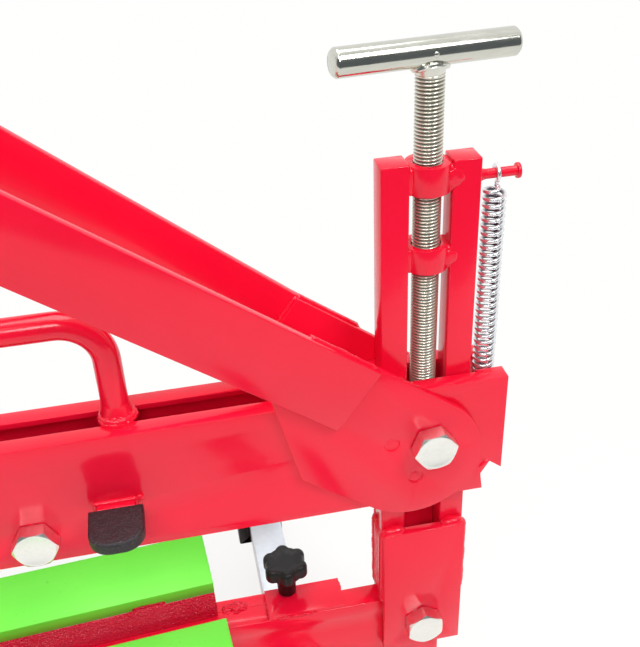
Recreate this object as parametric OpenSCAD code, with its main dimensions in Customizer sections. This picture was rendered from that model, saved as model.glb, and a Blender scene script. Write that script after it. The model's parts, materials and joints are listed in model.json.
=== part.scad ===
/* [Frame] */
// Distance from the middle of the machine to each post axis
post_x = 345; // [300:5:420]
// Thickness of the rubber pads under the feet
pad_h = 5; // [3:0.5:10]
// Diameter of a rubber pad
pad_d = 26; // [18:1:28]
// Height of the cross feet
foot_h = 25; // [20:1:40]
// Distance of the end feet from the middle
end_foot_x = 244; // [220:1:270]
// Width of the end feet along the beam
end_foot_w = 46; // [40:1:60]
// Reach of the end feet in front of the beam
end_foot_front = 290; // [150:5:320]
// Reach of the end feet behind the beam
end_foot_back = 100; // [80:5:140]
// Distance of the cross bearers from the middle
bearer_x = 110; // [80:5:140]
// Width of the cross bearers along the beam
bearer_w = 30; // [28:1:45]
// Side of the square middle foot
mid_foot_w = 60; // [40:1:80]
// Height of the lower beam
lower_h = 90; // [80:1:120]
// Thickness of the lower beam
lower_t = 20; // [16:0.5:26]
// How far the lower beam runs past a post axis
lower_over = 18; // [14:0.5:20]
// Distance of the ledge ends from the post axes
ledge_back = 68; // [50:1:90]
// Depth of the ledge behind the lower beam
ledge_d = 12; // [10:0.5:18]
// Thickness of the ledge
ledge_t = 8; // [5:0.5:12]

/* [Posts] */
// Width of a post bar along the beam
bar_w = 20; // [16:0.5:26]
// Depth of a post bar across the beam
bar_d = 20; // [16:0.5:22]
// Gap between the two bars of a post
bar_gap = 30; // [26:0.5:36]
// Height of the post tops above the upper beam's underside
post_rise = 279.5; // [260:0.5:320]
// Thickness of the foot plates
foot_plate_t = 8; // [5:0.5:8.5]
// Height of the foot plates above the lower beam
foot_plate_up = 84; // [60:0.5:90]
// Depth of the foot plates below the lower beam's top
foot_plate_down = 56; // [40:0.5:70]
// Depth of the foot bolts below the lower beam's top
foot_bolt_drop = 24.5; // [18:0.5:28]
// Outside diameter of the nut and guide bushes
bush_d = 32; // [31:0.5:36]
// Height of a nut bush
nut_h = 20.5; // [16:0.5:28]
// How far a nut bush lies below the top of its post
nut_sunk = 2; // [0.5:0.5:5]
// Height of a guide bush
guide_h = 18.5; // [15:0.5:25]
// Distance of a guide bush below its nut bush
guide_gap = 40; // [30:0.5:50]

/* [Spindles] */
// Diameter of the spindles and the pivot bolts
spindle_d = 20; // [16:0.5:22]
// Radial running clearance of spindles and pivots
run_fit = 0.05; // [0.02:0.01:0.08]
// Height of the cross bar's axis above the upper beam's underside
tbar_rise = 350; // [345:0.5:380]
// Diameter of a cross bar
tbar_d = 19; // [14:0.5:22]
// Length of a cross bar
tbar_len = 128; // [90:1:150]
// Angle of the cross bars to the beam
tbar_yaw = 9.3; // [0:0.1:20]
// Tilt of the cross bars, right end down
tbar_tilt = 1.3; // [0:0.1:3]
// How far the cross bars stand out further on their left side
tbar_shift = 2.5; // [0:0.5:6]
// Height of the slider block under each spindle
slider_h = 52; // [44:1:60]
// Depth of the slider block across the beam
slider_d = 24; // [20:0.5:28]

/* [Upper beam] */
// Height of the upper beam's underside above the lower beam
beam_lift = 127; // [120:1:150]
// How far the upper beam runs past a post axis
beam_over = 60; // [58:0.5:75]
// Width of the upper beam
beam_w = 47.5; // [47:0.5:54]
// Height of the upper beam
beam_h = 107.5; // [104:0.5:120]
// Wall of the upper beam
beam_wall = 4.5; // [3:0.25:5]
// Width of each lip along the open top
lip_w = 14.25; // [13:0.25:14.75]
// Height of the pivot bolts above the upper beam's underside
pivot_rise = 60; // [56:0.5:64]
// Clearance around the posts in the beam's windows
window_play = 4; // [3:0.25:6]

/* [Blades] */
// Length of both blades
blade_len = 334; // [260:1:340]
// Thickness of both blades
blade_t = 12; // [8:0.5:14]
// Height of the lower blade above the lower beam
lower_blade_h = 24.5; // [22:0.5:25.5]
// Height of the ground bevel of a blade
bevel_h = 13; // [5:0.5:14]
// How far the upper blade stands out below its beam
upper_blade_out = 16; // [12:0.5:18]
// Height of the upper blade inside its beam
upper_blade_in = 44; // [42:0.5:50]
// Distance of the blade bolts from the middle
blade_bolt_x = 43; // [30:0.5:80]
// Height of the blade bolts above the beam's underside
blade_bolt_rise = 24; // [20:0.5:25]
// Outside diameter of the spacers beside the upper blade
spacer_d = 30; // [24:0.5:34]

/* [Hexagon fasteners] */
// Width across the flats of heads and nuts
hex_af = 30; // [24:0.5:32]
// Height of the bolt heads
head_h = 12.5; // [8:0.5:15]
// Height of the nuts
nut_t = 16; // [10:0.5:18]
// Length of thread showing past a nut
bolt_tail = 6; // [3:0.5:10]
// Radial clearance of a bolt in a plain hole
bolt_play = 0.5; // [0.3:0.1:1]

/* [Blade table] */
// Angle of the lower blade and its plates to the beam
table_yaw = 4; // [0:0.5:5]
// Diameter of the pin that the table turns on
table_pin_d = 10; // [8:0.5:12]
// Depth of the table's pin in the lower beam
table_pin_in = 40; // [30:1:50]
// Height of the plate tops above the lower beam
plate_rise = 13.5; // [13.5:0.5:18]
// Distance of the plates' inner edges from the blade's middle
plate_in = 21; // [19:0.5:30]
// Distance of the plates' outer edges from the blade's middle
plate_out = 85; // [80:1:110]
// Length of the plates
plate_len = 337; // [260:1:340]
// Shift of the front plate towards the lever's pivot
front_shift = 4; // [0:0.5:6]
// Thickness of the plate sheet
sheet_t = 3; // [2:0.5:4]
// Depth of the folded edges
skirt_h = 13; // [8:0.5:13]
// Side of the square legs under the plates
leg_w = 22; // [16:0.5:26]
// Distance of the legs from the plates' outer edges
leg_inset = 14; // [8:0.5:24]
// Thickness of the lugs that carry the plates' inner edges
lug_t = 3; // [2:0.5:4]
// Distance from the middle of the second lug of the front plate, to the left
front_lug_x = 10; // [0:5:60]

/* [Lever] */
// Angle of the lever above level at rest
lever_rest = 36.5; // [32:0.1:40]
// Thickness of a cam plate
cam_t = 5; // [4:0.25:8]
// Clearance between the beam and a cam plate
cam_gap = 0.5; // [0.3:0.1:1]
// Radius of the round end of a cam plate
cam_r = 54.6; // [52:0.1:58]
// Distance of the round end's centre from the pivot along the lever
cam_back = 4.1; // [0:0.1:8]
// Depth of the round end's centre below the pivot
cam_drop = 19; // [16:0.1:22]
// Length of the cam plate's straight lower edge past the round end
cam_heel = 68; // [50:1:80]
// Reach of the cam plate along the lever bar
cam_reach = 137; // [125:1:160]
// Radius of the drive pins' circle about the pivot
drive_r = 31.9; // [29:0.1:34]
// Angle of the drive pins about the pivot, from the far end of the machine
drive_angle = 7; // [0:0.5:15]
// Diameter of the drive pins
drive_d = 12; // [8:0.5:14]
// Clearance above and below a drive pin in the beam
drive_play = 0.9; // [0.8:0.1:1.5]
// Length that a drive pin moves along its window
drive_sweep = 5; // [4.5:0.1:8]
// Distance of the plug weld's second spot below the pivot
spot_drop = 31.5; // [28:0.5:34]
// Distance of the plug weld's second spot behind the pivot
spot_back = 12.7; // [8:0.1:16]
// Depth of the plug weld spots
spot_depth = 1; // [0.5:0.1:1.5]
// Thickness of the lever bars
lever_t = 7; // [5:0.25:10]
// Height of the lever bars
lever_h = 55.5; // [48:0.5:56]
// Height of the bars' lower edge below the pivot's line
lever_low = 19.5; // [17:0.1:20]
// Distance from the pivot to the near end of the bars
lever_start = 78; // [70:1:90]
// Distance from the pivot to the far end of the bars
lever_len = 1080; // [1000:5:1200]
// Distance from the pivot to the front bar's first bend
front_bend = 370; // [340:5:420]
// Distance from the pivot to the rear bar's first bend
rear_bend = 140; // [138:1:180]
// Length of a bar's splayed stretch
splay_len = 283; // [260:1:320]
// Sideways step of a bar over its splayed stretch
splay_step = 40; // [36:0.5:60]
// Diameter of the grip tube
grip_tube_d = 34; // [25:0.5:38]
// Wall of the grip tube
grip_wall = 3; // [2:0.25:5]
// Diameter of the rubber sleeve
sleeve_d = 42; // [39:0.5:50]
// Length of the rubber sleeve
sleeve_len = 118; // [90:1:124]
// Distance of the grip's axis from the bars' far end
grip_inset = 30; // [26:1:50]

/* [Carry handle and lever stop] */
// Diameter of the carry handle
handle_d = 20; // [19.5:0.5:24]
// Distance of the handle's legs from the middle
handle_x = 115.5; // [90:0.5:130]
// Height of the handle's axis above the upper beam
handle_rise = 82; // [70:0.5:100]
// Bend radius of the handle
handle_bend = 32; // [24:1:45]
// Distance of the lever stop from the middle
stop_pad_x = 104.5; // [95:0.5:125]
// Height of the lever stop's top above the upper beam's underside
stop_pad_rise = 49; // [44:0.5:49.5]
// Thickness of the lever stop
stop_pad_t = 10; // [6:0.5:12]
// Width of the lever stop
stop_pad_w = 40; // [30:0.5:46]
// Length of the lever stop out from its tab
stop_pad_out = 38; // [34:0.5:48]
// Corner radius of the lever stop's nose
stop_pad_r = 12; // [6:0.5:14]
// Length of the tab between beam and lever stop
stop_tab_out = 7; // [5:0.5:10]
// Width of the tab
stop_tab_w = 28; // [20:0.5:36]

/* [Springs] */
// Distance of the springs from the post axes
spring_x = 48.5; // [47:0.25:50]
// Outside diameter of a spring
spring_d = 17.2; // [15:0.1:18]
// Diameter of the spring wire
wire_d = 3.2; // [2.4:0.1:3.6]
// Number of curls of a spring
curls = 38; // [20:1:40]
// Depth of the spring pins below the post tops
spring_pin_drop = 16.5; // [12:0.5:22]
// Diameter of the spring pins and of the rods that anchor the springs
spring_pin_d = 7; // [6:0.5:9]
// Length of a spring pin out from its post
spring_pin_len = 30.5; // [28:0.5:40]
// Diameter of a spring pin's head
spring_head_d = 11; // [10:0.5:16]
// Thickness of a spring pin's head
spring_head_t = 2.5; // [1.5:0.5:5]
// Height of the spring anchor rods above the upper beam's underside
anchor_rise = 34; // [32:0.5:38]

/* [Back stop] */
// Distance of the stop arm from the right post
arm_inset = 120; // [110:1:130]
// Side of the square arm
arm_w = 30; // [24:0.5:34]
// Wall of the arm
arm_wall = 2.5; // [1.5:0.25:3]
// Distance of the arm's top below the ledge
arm_gap = 2; // [1:0.25:4]
// Wall of the bracket that holds the arm to the lower beam
guide_wall = 4; // [3:0.5:6]
// Depth of the arm's bracket behind the lower beam
guide_d = 10; // [8:0.5:12]
// Reach of the arm behind the blade's middle
arm_back = 240; // [235:1:280]
// Length of the corner block along the arm
block_len = 40; // [30:0.5:50]
// Distance of the corner block's front from the blade's middle
block_y = 130; // [120:0.5:135]
// Width of the corner block
block_w = 44; // [36:0.5:52]
// Width of the block's wall on its outer side
block_side = 2.5; // [2:0.25:4]
// Height of the block's floor below the arm
block_floor = 4; // [2:0.25:8]
// Height of the fence above the plates
fence_gap = 3; // [1.5:0.25:6]
// Height of the fence
fence_h = 40; // [25:1:45]
// Thickness of the fence
fence_t = 6; // [4:0.25:10]
// Reach of the fence past the middle
fence_reach = 60; // [20:1:120]
// Overhang of the plastic caps on the fence and the arm
cap_over = 2; // [1:0.25:4]
// Length of the plastic caps
cap_len = 8; // [5:0.5:14]
// Distance of the clamping stud from the arm's middle
stud_side = 5; // [0:0.5:6]
// Diameter of the clamping stud
stud_d = 10; // [8:0.5:12]
// Thickness of the plate that the stud screws through
clamp_t = 4; // [3:0.5:8]
// Reach of that plate in front of the blade's middle
clamp_front = 9.5; // [3:0.5:9.5]
// Reach of that plate behind the blade's middle
clamp_back = 21; // [21:0.25:22]
// Height of the knob above the ledge
knob_rise = 29.5; // [22:0.5:36]
// Height of the knob
knob_h = 14; // [12:0.5:24]
// Diameter over the knob's lobes
knob_d = 40; // [32:0.5:46]
// Diameter of one lobe
lobe_d = 13; // [10:0.5:15]
// Diameter of the knob's boss
boss_d = 18; // [16:0.5:22]
// Length of the knob's boss
boss_h = 6; // [3:0.5:8]
// Angle of the knob's lobes to the beam
lobe_turn = 30; // [0:5:60]

/* [Hidden] */
$fn = 28;
red = [0.86, 0.08, 0.13];
green = [0.44, 0.9, 0.3];
zinc = [0.78, 0.78, 0.75];
black = [0.06, 0.06, 0.06];
// Overrun of every cut past the faces it leaves through
over = 1;
// Small running gap between pieces that slide or turn on each other
slip = 0.3;
lower_z = pad_h + foot_h;
lower_top = lower_z + lower_h;
beam_z = lower_top + beam_lift;
beam_top = beam_z + beam_h;
pivot_z = beam_z + pivot_rise;
post_top = beam_z + post_rise;
bar_out = bar_gap / 2 + bar_w;
beam_end = post_x + beam_over;
beam_in = beam_w / 2 - beam_wall;
foot_y = bar_d / 2 + foot_plate_t;
cam_in = beam_w / 2 + cam_gap;
cam_out = cam_in + cam_t;
hole_r = spindle_d / 2 + bolt_play;
spindle_r = spindle_d / 2;
bore_r = spindle_r + run_fit;
slider_top = pivot_z + slider_h / 2;
tbar_z = beam_z + tbar_rise;
plate_top = lower_top + plate_rise;
plate_under = plate_top - sheet_t;
ledge_half = post_x - ledge_back;
spring_r = (spring_d - wire_d) / 2;
spring_top = post_top - spring_pin_drop - spring_pin_d / 2;
spring_low = beam_z + anchor_rise + spring_pin_d / 2;
arm_x = post_x - arm_inset;
stud_x = arm_x + stud_side;
arm_top = lower_top - ledge_t - arm_gap;
arm_z = arm_top - arm_w;
fence_z = plate_top + fence_gap;
stud_y = lower_t / 2 + ledge_d / 2;
knob_z = lower_top + knob_rise;
grip_z = lever_h / 2 - lever_low;
// Drop of the beam at its far pivot when the lever is right down
beam_drop = 22;

// Box between two opposite corners
module box(a, b) {
    translate(a)
        cube([b[0] - a[0], b[1] - a[1], b[2] - a[2]]);
}

// Round bar along the depth axis
module rod_y(r, x, z, y0, y1) {
    translate([x, y0, z])
        rotate([-90, 0, 0])
            cylinder(r = r, h = y1 - y0);
}

// Round bar along the beam axis
module rod_x(r, y, z, x0, x1) {
    translate([x0, y, z])
        rotate([0, 90, 0])
            cylinder(r = r, h = x1 - x0);
}

// Upright round bar
module rod_z(r, x, y, z0, z1) {
    translate([x, y, z0])
        cylinder(r = r, h = z1 - z0);
}

// Hexagon along the depth axis
module hex_y(af, x, z, y0, y1) {
    translate([x, y0, z])
        rotate([-90, 0, 0])
            cylinder(d = af / cos(30), h = y1 - y0, $fn = 6);
}

// Outline in the upright plane, drawn out along the depth axis
module slab_y(y0, y1) {
    translate([0, y1, 0])
        rotate([90, 0, 0])
            linear_extrude(y1 - y0)
                children();
}

// Hexagon bolt with its head in front and its nut behind
module hex_bolt(x, z, front, back) {
    hex_y(hex_af, x, z, -front - head_h, -front);
    rod_y(spindle_r, x, z, -front, back + nut_t + bolt_tail);
    hex_y(hex_af, x, z, back, back + nut_t);
}

module lower_beam() {
    end = post_x + lower_over;
    color(red)
        difference() {
            box([-end, -lower_t / 2, lower_z], [end, lower_t / 2, lower_top]);
            for (s = [-1, 1])
                rod_y(hole_r, s * post_x, lower_top - foot_bolt_drop, -lower_t, lower_t);
            rod_z(table_pin_d / 2 + run_fit, 0, 0, lower_top - table_pin_in - slip, lower_top + over);
        }
}

module ledge() {
    color(red)
        difference() {
            box([-ledge_half, lower_t / 2, lower_top - ledge_t], [ledge_half, lower_t / 2 + ledge_d, lower_top]);
            rod_z(stud_d / 2 + bolt_play / 2, stud_x, stud_y, lower_top - ledge_t - over, lower_top + over);
        }
}

// Section of a blade standing on its back, drawn out along the beam
module blade_bar(z0, z1, up) {
    tip = up > 0 ? z1 : z0;
    back = up > 0 ? z0 : z1;
    half = blade_t / 2;
    translate([-blade_len / 2, 0, 0])
        rotate([90, 0, 90])
            linear_extrude(blade_len)
                polygon([[-half, back], [half, back], [half, tip - up * bevel_h], [0, tip],
                    [-half, tip - up * bevel_h]]);
}

// Turns a shape with the blade table
module on_table() {
    rotate([0, 0, table_yaw])
        children();
}

module lower_blade() {
    color(red)
        on_table()
            blade_bar(lower_top + slip, lower_top + lower_blade_h, 1);
}

module table_pin() {
    color(zinc)
        rod_z(table_pin_d / 2, 0, 0, lower_top - table_pin_in, lower_top + slip);
}

module upper_blade() {
    color(red)
        difference() {
            blade_bar(beam_z - upper_blade_out, beam_z + upper_blade_in, -1);
            for (s = [-1, 1])
                rod_y(hole_r, s * blade_bolt_x, beam_z + blade_bolt_rise, -blade_t, blade_t);
        }
}

// Folded support plate on one side of the blade
module support_plate(s, shift) {
    a = shift - plate_len / 2;
    b = shift + plate_len / 2;
    mirror([0, s < 0 ? 1 : 0, 0]) {
        box([a, plate_in, plate_under], [b, plate_out, plate_top]);
        box([a, plate_in, plate_top - skirt_h], [b, plate_in + sheet_t, plate_top]);
        box([a, plate_out - sheet_t, plate_top - skirt_h], [b, plate_out, plate_top]);
    }
}

module front_plate() {
    color(green)
        on_table()
            support_plate(-1, front_shift);
}

module rear_plate() {
    color(green)
        on_table()
            support_plate(1, 0);
}

// Lugs between the blade and the inner edges of the plates
module plate_lugs() {
    z0 = plate_top - skirt_h;
    color(red)
        on_table()
            for (k = [-1, 1], s = [-1, 1]) {
                x = k < 0 ? -bearer_x : s < 0 ? -front_lug_x : bearer_x;
                mirror([0, s < 0 ? 1 : 0, 0])
                    box([x - bearer_w / 2, blade_t / 2, z0], [x + bearer_w / 2, plate_in, z0 + lug_t]);
            }
}

// Legs that the outer edges of the plates bear on
module plate_legs() {
    y1 = plate_out - leg_inset;
    color(red)
        for (x = [-bearer_x, bearer_x], s = [-1, 1])
            mirror([0, s < 0 ? 1 : 0, 0])
                box([x - leg_w / 2, y1 - leg_w, lower_z], [x + leg_w / 2, y1, plate_under - slip]);
}

module cross_bearers() {
    color(red)
        for (x = [-bearer_x, bearer_x])
            box([x - bearer_w / 2, -plate_out, pad_h], [x + bearer_w / 2, plate_out, lower_z]);
}

module end_feet() {
    color(red)
        for (x = [-end_foot_x, end_foot_x])
            box([x - end_foot_w / 2, -end_foot_front, pad_h], [x + end_foot_w / 2, end_foot_back, lower_z]);
}

module mid_foot() {
    color(red)
        box([-mid_foot_w / 2, -mid_foot_w / 2, pad_h], [mid_foot_w / 2, mid_foot_w / 2, lower_z]);
}

module foot_pads() {
    color(black) {
        rod_z(pad_d / 2, 0, 0, 0, pad_h);
        for (s = [-1, 1]) {
            rod_z(pad_d / 2, s * end_foot_x, pad_d / 2 - end_foot_front, 0, pad_h);
            rod_z(pad_d / 2, s * end_foot_x, end_foot_back - pad_d / 2, 0, pad_h);
            for (k = [-1, 1])
                rod_z(pad_d / 2, s * bearer_x, k * (plate_out - pad_d / 2), 0, pad_h);
        }
    }
}

// Two square bars of a post
module post(s) {
    for (k = [-1, 1])
        translate([s * post_x + k * (bar_gap + bar_w) / 2 - bar_w / 2, -bar_d / 2, lower_top])
            cube([bar_w, bar_d, post_top - lower_top]);
}

module right_post() {
    color(red)
        post(1);
}

module left_post() {
    color(red)
        post(-1);
}

// Two plates that straddle the lower beam and carry a post
module foot_plates(s) {
    x = s * post_x;
    z0 = lower_top - foot_plate_down;
    for (k = [-1, 1])
        mirror([0, k < 0 ? 1 : 0, 0])
            difference() {
                box([x - bar_out, bar_d / 2, z0], [x + bar_out, foot_y, lower_top + foot_plate_up]);
                rod_y(hole_r, x, lower_top - foot_bolt_drop, 0, foot_y + over);
            }
}

module right_foot_plates() {
    color(red)
        foot_plates(1);
}

module left_foot_plates() {
    color(red)
        foot_plates(-1);
}

module foot_bolts() {
    color(zinc)
        for (s = [-1, 1])
            hex_bolt(s * post_x, lower_top - foot_bolt_drop, foot_y, foot_y);
}

// Bush welded between the two bars of a post
module bush(s, r, z0, z1) {
    x = s * post_x;
    difference() {
        intersection() {
            rod_z(bush_d / 2, x, 0, z0, z1);
            box([x - bar_gap / 2, -bush_d, z0], [x + bar_gap / 2, bush_d, z1]);
        }
        rod_z(r, x, 0, z0 - over, z1 + over);
    }
}

module nut_bushes() {
    z1 = post_top - nut_sunk;
    color(red)
        for (s = [-1, 1])
            bush(s, bore_r, z1 - nut_h, z1);
}

module guide_bushes() {
    z1 = post_top - nut_sunk - nut_h - guide_gap;
    color(red)
        for (s = [-1, 1])
            bush(s, hole_r, z1 - guide_h, z1);
}

module spring_pins() {
    z = post_top - spring_pin_drop;
    x0 = post_x + bar_out;
    x1 = x0 + spring_pin_len;
    color(red)
        for (s = [-1, 1])
            mirror([s < 0 ? 1 : 0, 0, 0]) {
                rod_x(spring_pin_d / 2, 0, z, x0, x1);
                rod_x(spring_head_d / 2, 0, z, x1 - spring_head_t, x1);
            }
}

// Springs: a tube along a helix that narrows to its axis at both ends
curl_steps = 8;
ramp = 1;
path_n = curls * curl_steps;
// Straight wire at each end, and the rise while the curls open out
stub = wire_d * 2;
open_rise = wire_d * 2.5;
coil_h = spring_top - spring_low - 2 * (stub + open_rise);
function ease(t) = t * t * (3 - 2 * t);
function turn(i) = i / curl_steps;
function rise(t) = t < ramp ? open_rise * t / ramp :
    t > curls - ramp ? open_rise + coil_h + open_rise * (t - curls + ramp) / ramp :
    open_rise + coil_h * (t - ramp) / (curls - 2 * ramp);
function reach(t) = spring_r * ease(min(1, t / ramp, (curls - t) / ramp));
function coil_pt(i) = let (t = turn(i))
    [reach(t) * cos(360 * t), reach(t) * sin(360 * t), spring_low + stub + rise(t)];
spring_path = concat([[0, 0, spring_low]], [for (i = [0 : path_n]) coil_pt(i)], [[0, 0, spring_top]]);
path_len = len(spring_path);
function unit(v) = v / norm(v);
function along(i) = i == 0 || i == path_len - 1 ? [0, 0, 1] :
    unit(spring_path[i + 1] - spring_path[i - 1]);
function out_at(i) = let (t = turn(max(0, min(path_n, i - 1)))) [cos(360 * t), sin(360 * t), 0];
function side_a(i) = unit(out_at(i) - (out_at(i) * along(i)) * along(i));
function side_b(i) = cross(along(i), side_a(i));
wire_sides = 6;
spring_pts = [for (i = [0 : path_len - 1], k = [0 : wire_sides - 1])
    spring_path[i] + wire_d / 2 * (cos(60 * k) * side_a(i) + sin(60 * k) * side_b(i))];
spring_faces = concat(
    [for (k = [1 : wire_sides - 2]) [0, k, k + 1]],
    [for (i = [0 : path_len - 2], k = [0 : wire_sides - 1]) let (n = (k + 1) % wire_sides, a = i * wire_sides)
        [a + k, a + wire_sides + k, a + n]],
    [for (i = [0 : path_len - 2], k = [0 : wire_sides - 1]) let (n = (k + 1) % wire_sides, a = i * wire_sides)
        [a + n, a + wire_sides + k, a + wire_sides + n]],
    [for (k = [1 : wire_sides - 2]) let (a = (path_len - 1) * wire_sides) [a, a + k + 1, a + k]]);
spring_gap = min([for (i = [0 : path_len - 1], j = [i + curl_steps - 2 : i + curl_steps + 2])
    if (j < path_len) norm(spring_path[j] - spring_path[i]) - wire_d]);
echo(spring_gap = spring_gap);

module spring(s) {
    translate([s * (post_x + spring_x), 0, 0])
        polyhedron(points = spring_pts, faces = spring_faces);
}

module right_spring() {
    color(zinc)
        spring(1);
}

module left_spring() {
    color(zinc)
        spring(-1);
}

module clamp_plate() {
    color(red)
        difference() {
            box([arm_x - arm_w / 2, -clamp_front, lower_top], [ledge_half, clamp_back, lower_top + clamp_t]);
            rod_z(stud_d / 2 + run_fit, stud_x, stud_y, lower_top - over, lower_top + clamp_t + over);
        }
}

// Bracket round the stop arm behind the lower beam
module arm_guide() {
    a = arm_w / 2;
    b = a + guide_wall;
    y0 = lower_t / 2;
    z1 = lower_top - ledge_t;
    color(red)
        difference() {
            box([arm_x - b, y0, arm_z - guide_wall], [arm_x + b, y0 + guide_d, z1]);
            box([arm_x - a, y0 - over, arm_z], [arm_x + a, y0 + guide_d + over, z1 + over]);
        }
}

// Block that slides between the bars of a post and takes the spindle's push
module slider(s) {
    x = s * post_x;
    half = bar_gap / 2 - slip;
    difference() {
        box([x - half, -slider_d / 2, pivot_z - slider_h / 2], [x + half, slider_d / 2, slider_top]);
        rod_y(bore_r, x, pivot_z, -slider_d, slider_d);
    }
}

module right_slider() {
    color(zinc)
        slider(1);
}

module left_slider() {
    color(zinc)
        slider(-1);
}

module right_pivot_bolt() {
    color(zinc)
        hex_bolt(post_x, pivot_z, cam_out + cam_gap, cam_out + cam_gap);
}

module left_pivot_bolt() {
    color(zinc)
        hex_bolt(-post_x, pivot_z, cam_in, cam_in);
}

// Cross bar of a spindle
module cross_bar(s) {
    translate([s * post_x, 0, tbar_z])
        rotate([0, tbar_tilt, tbar_yaw])
            rod_x(tbar_d / 2, 0, 0, -tbar_shift - tbar_len / 2, tbar_len / 2 - tbar_shift);
}

module spindle(s) {
    difference() {
        rod_z(spindle_r, s * post_x, 0, slider_top + slip, tbar_z);
        cross_bar(s);
    }
}

module right_spindle() {
    color(zinc)
        spindle(1);
}

module right_tbar() {
    color(zinc)
        cross_bar(1);
}

module left_spindle() {
    color(zinc)
        spindle(-1);
}

module left_tbar() {
    color(zinc)
        cross_bar(-1);
}

// Corner cut at the lower end of the upper beam
cut_up = 19;
cut_peak_x = 10;
cut_peak_z = 27;
cut_in_x = 17;
cut_in_z = 15.5;
cut_foot_x = 15;
module end_cut(s) {
    mirror([s < 0 ? 1 : 0, 0, 0])
        translate([beam_end, 0, beam_z])
            slab_y(-beam_w, beam_w)
                polygon([[over, cut_up], [0, cut_up], [-cut_peak_x, cut_peak_z], [-cut_in_x, cut_in_z],
                    [-cut_foot_x, 0], [-cut_foot_x, -over], [over, -over]]);
}

module upper_beam() {
    wx = bar_out + window_play;
    wy = bar_d / 2 + window_play / 2;
    slot = spindle_r + window_play / 2;
    pin_x = post_x - drive_r * cos(drive_angle);
    pin_z = pivot_z + drive_r * sin(drive_angle);
    pin_h = drive_d / 2 + drive_play;
    color(red)
        difference() {
            box([-beam_end, -beam_w / 2, beam_z], [beam_end, beam_w / 2, beam_top]);
            box([-beam_end - over, -beam_in, beam_z + beam_wall], [beam_end + over, beam_in, beam_top - beam_wall]);
            box([-beam_end - over, lip_w - beam_w / 2, beam_top - beam_wall - over],
                [beam_end + over, beam_w / 2 - lip_w, beam_top + over]);
            for (s = [-1, 1]) {
                x = s * post_x;
                box([x - wx, -beam_in, beam_z - over], [x + wx, beam_in, beam_z + beam_wall + over]);
                box([x - wx, -wy, beam_top - beam_wall - over], [x + wx, wy, beam_top + over]);
                end_cut(s);
                rod_y(hole_r, s * blade_bolt_x, beam_z + blade_bolt_rise, -beam_w, beam_w);
            }
            box([-blade_len / 2 - slip, -blade_t / 2 - slip, beam_z - over],
                [blade_len / 2 + slip, blade_t / 2 + slip, beam_z + beam_wall + over]);
            rod_y(bore_r, -post_x, pivot_z, -beam_w, beam_w);
            box([post_x - slot, -beam_w, pivot_z - slot], [post_x + slot, beam_w, pivot_z + beam_drop + slot]);
            box([pin_x - pin_h, -beam_w, pin_z - pin_h], [pin_x + pin_h + drive_sweep, beam_w, pin_z + pin_h]);
        }
}

module blade_bolts() {
    color(zinc)
        for (s = [-1, 1])
            hex_bolt(s * blade_bolt_x, beam_z + blade_bolt_rise, beam_w / 2, beam_w / 2);
}

module blade_spacers() {
    z = beam_z + blade_bolt_rise;
    color(zinc)
        for (s = [-1, 1], k = [-1, 1])
            mirror([0, k < 0 ? 1 : 0, 0])
                difference() {
                    rod_y(spacer_d / 2, s * blade_bolt_x, z, blade_t / 2, beam_in);
                    rod_y(hole_r, s * blade_bolt_x, z, 0, beam_w);
                }
}

module carry_handle() {
    r = handle_d / 2;
    z1 = beam_top + handle_rise;
    color(red) {
        rod_x(r, 0, z1, handle_bend - handle_x, handle_x - handle_bend);
        for (s = [-1, 1]) {
            rod_z(r, s * handle_x, 0, beam_top, z1 - handle_bend);
            mirror([s < 0 ? 1 : 0, 0, 0])
                translate([handle_x - handle_bend, 0, z1 - handle_bend])
                    rotate([90, 0, 0])
                        rotate_extrude(angle = 90)
                            translate([handle_bend, 0])
                                circle(r = r);
        }
    }
}

module stop_tab() {
    z1 = beam_z + stop_pad_rise - over;
    z0 = z1 - stop_pad_t + 2 * over;
    y0 = -beam_w / 2;
    color(red)
        box([stop_pad_x - stop_tab_w / 2, y0 - stop_tab_out, z0], [stop_pad_x + stop_tab_w / 2, y0, z1]);
}

module stop_pad() {
    z1 = beam_z + stop_pad_rise;
    z0 = z1 - stop_pad_t;
    y0 = -beam_w / 2 - stop_tab_out;
    y1 = y0 - stop_pad_out;
    yc = y1 + stop_pad_r;
    half = stop_pad_w / 2;
    inner = half - stop_pad_r;
    color(black)
        union() {
            box([stop_pad_x - half, yc, z0], [stop_pad_x + half, y0, z1]);
            box([stop_pad_x - inner, y1, z0], [stop_pad_x + inner, y0, z1]);
            for (s = [-1, 1])
                rod_z(stop_pad_r, stop_pad_x + s * inner, yc, z0, z1);
        }
}

module spring_anchors() {
    color(red)
        for (s = [-1, 1])
            rod_y(spring_pin_d / 2, s * (post_x + spring_x), beam_z + anchor_rise, -beam_in, beam_in);
}

// Places a shape drawn about the pivot, with the lever's length along the negative beam axis
module on_lever() {
    translate([post_x, 0, pivot_z])
        rotate([0, lever_rest, 0])
            children();
}

// Spots of the plug welds in a cam plate, seen with the lever at rest
module plug_spots(y0, y1) {
    translate([post_x, 0, pivot_z]) {
        rod_y(drive_d / 2, -drive_r * cos(drive_angle), drive_r * sin(drive_angle), y0, y1);
        rod_y(drive_d / 2, -spot_back, -spot_drop, y0, y1);
    }
}

// Cam plate with its round end about the pivot
module cam_plate(y0, y1) {
    top = cam_r - cam_drop;
    foot = -cam_r - cam_drop;
    on_lever()
        difference() {
            union() {
                rod_y(cam_r, -cam_back, -cam_drop, y0, y1);
                slab_y(y0, y1)
                    polygon([[-cam_back, top], [-cam_reach, top], [-cam_reach, -lever_low],
                        [-cam_back - cam_heel, foot], [-cam_back, foot]]);
            }
            rod_y(bore_r, 0, 0, y0 - over, y1 + over);
        }
}

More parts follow.
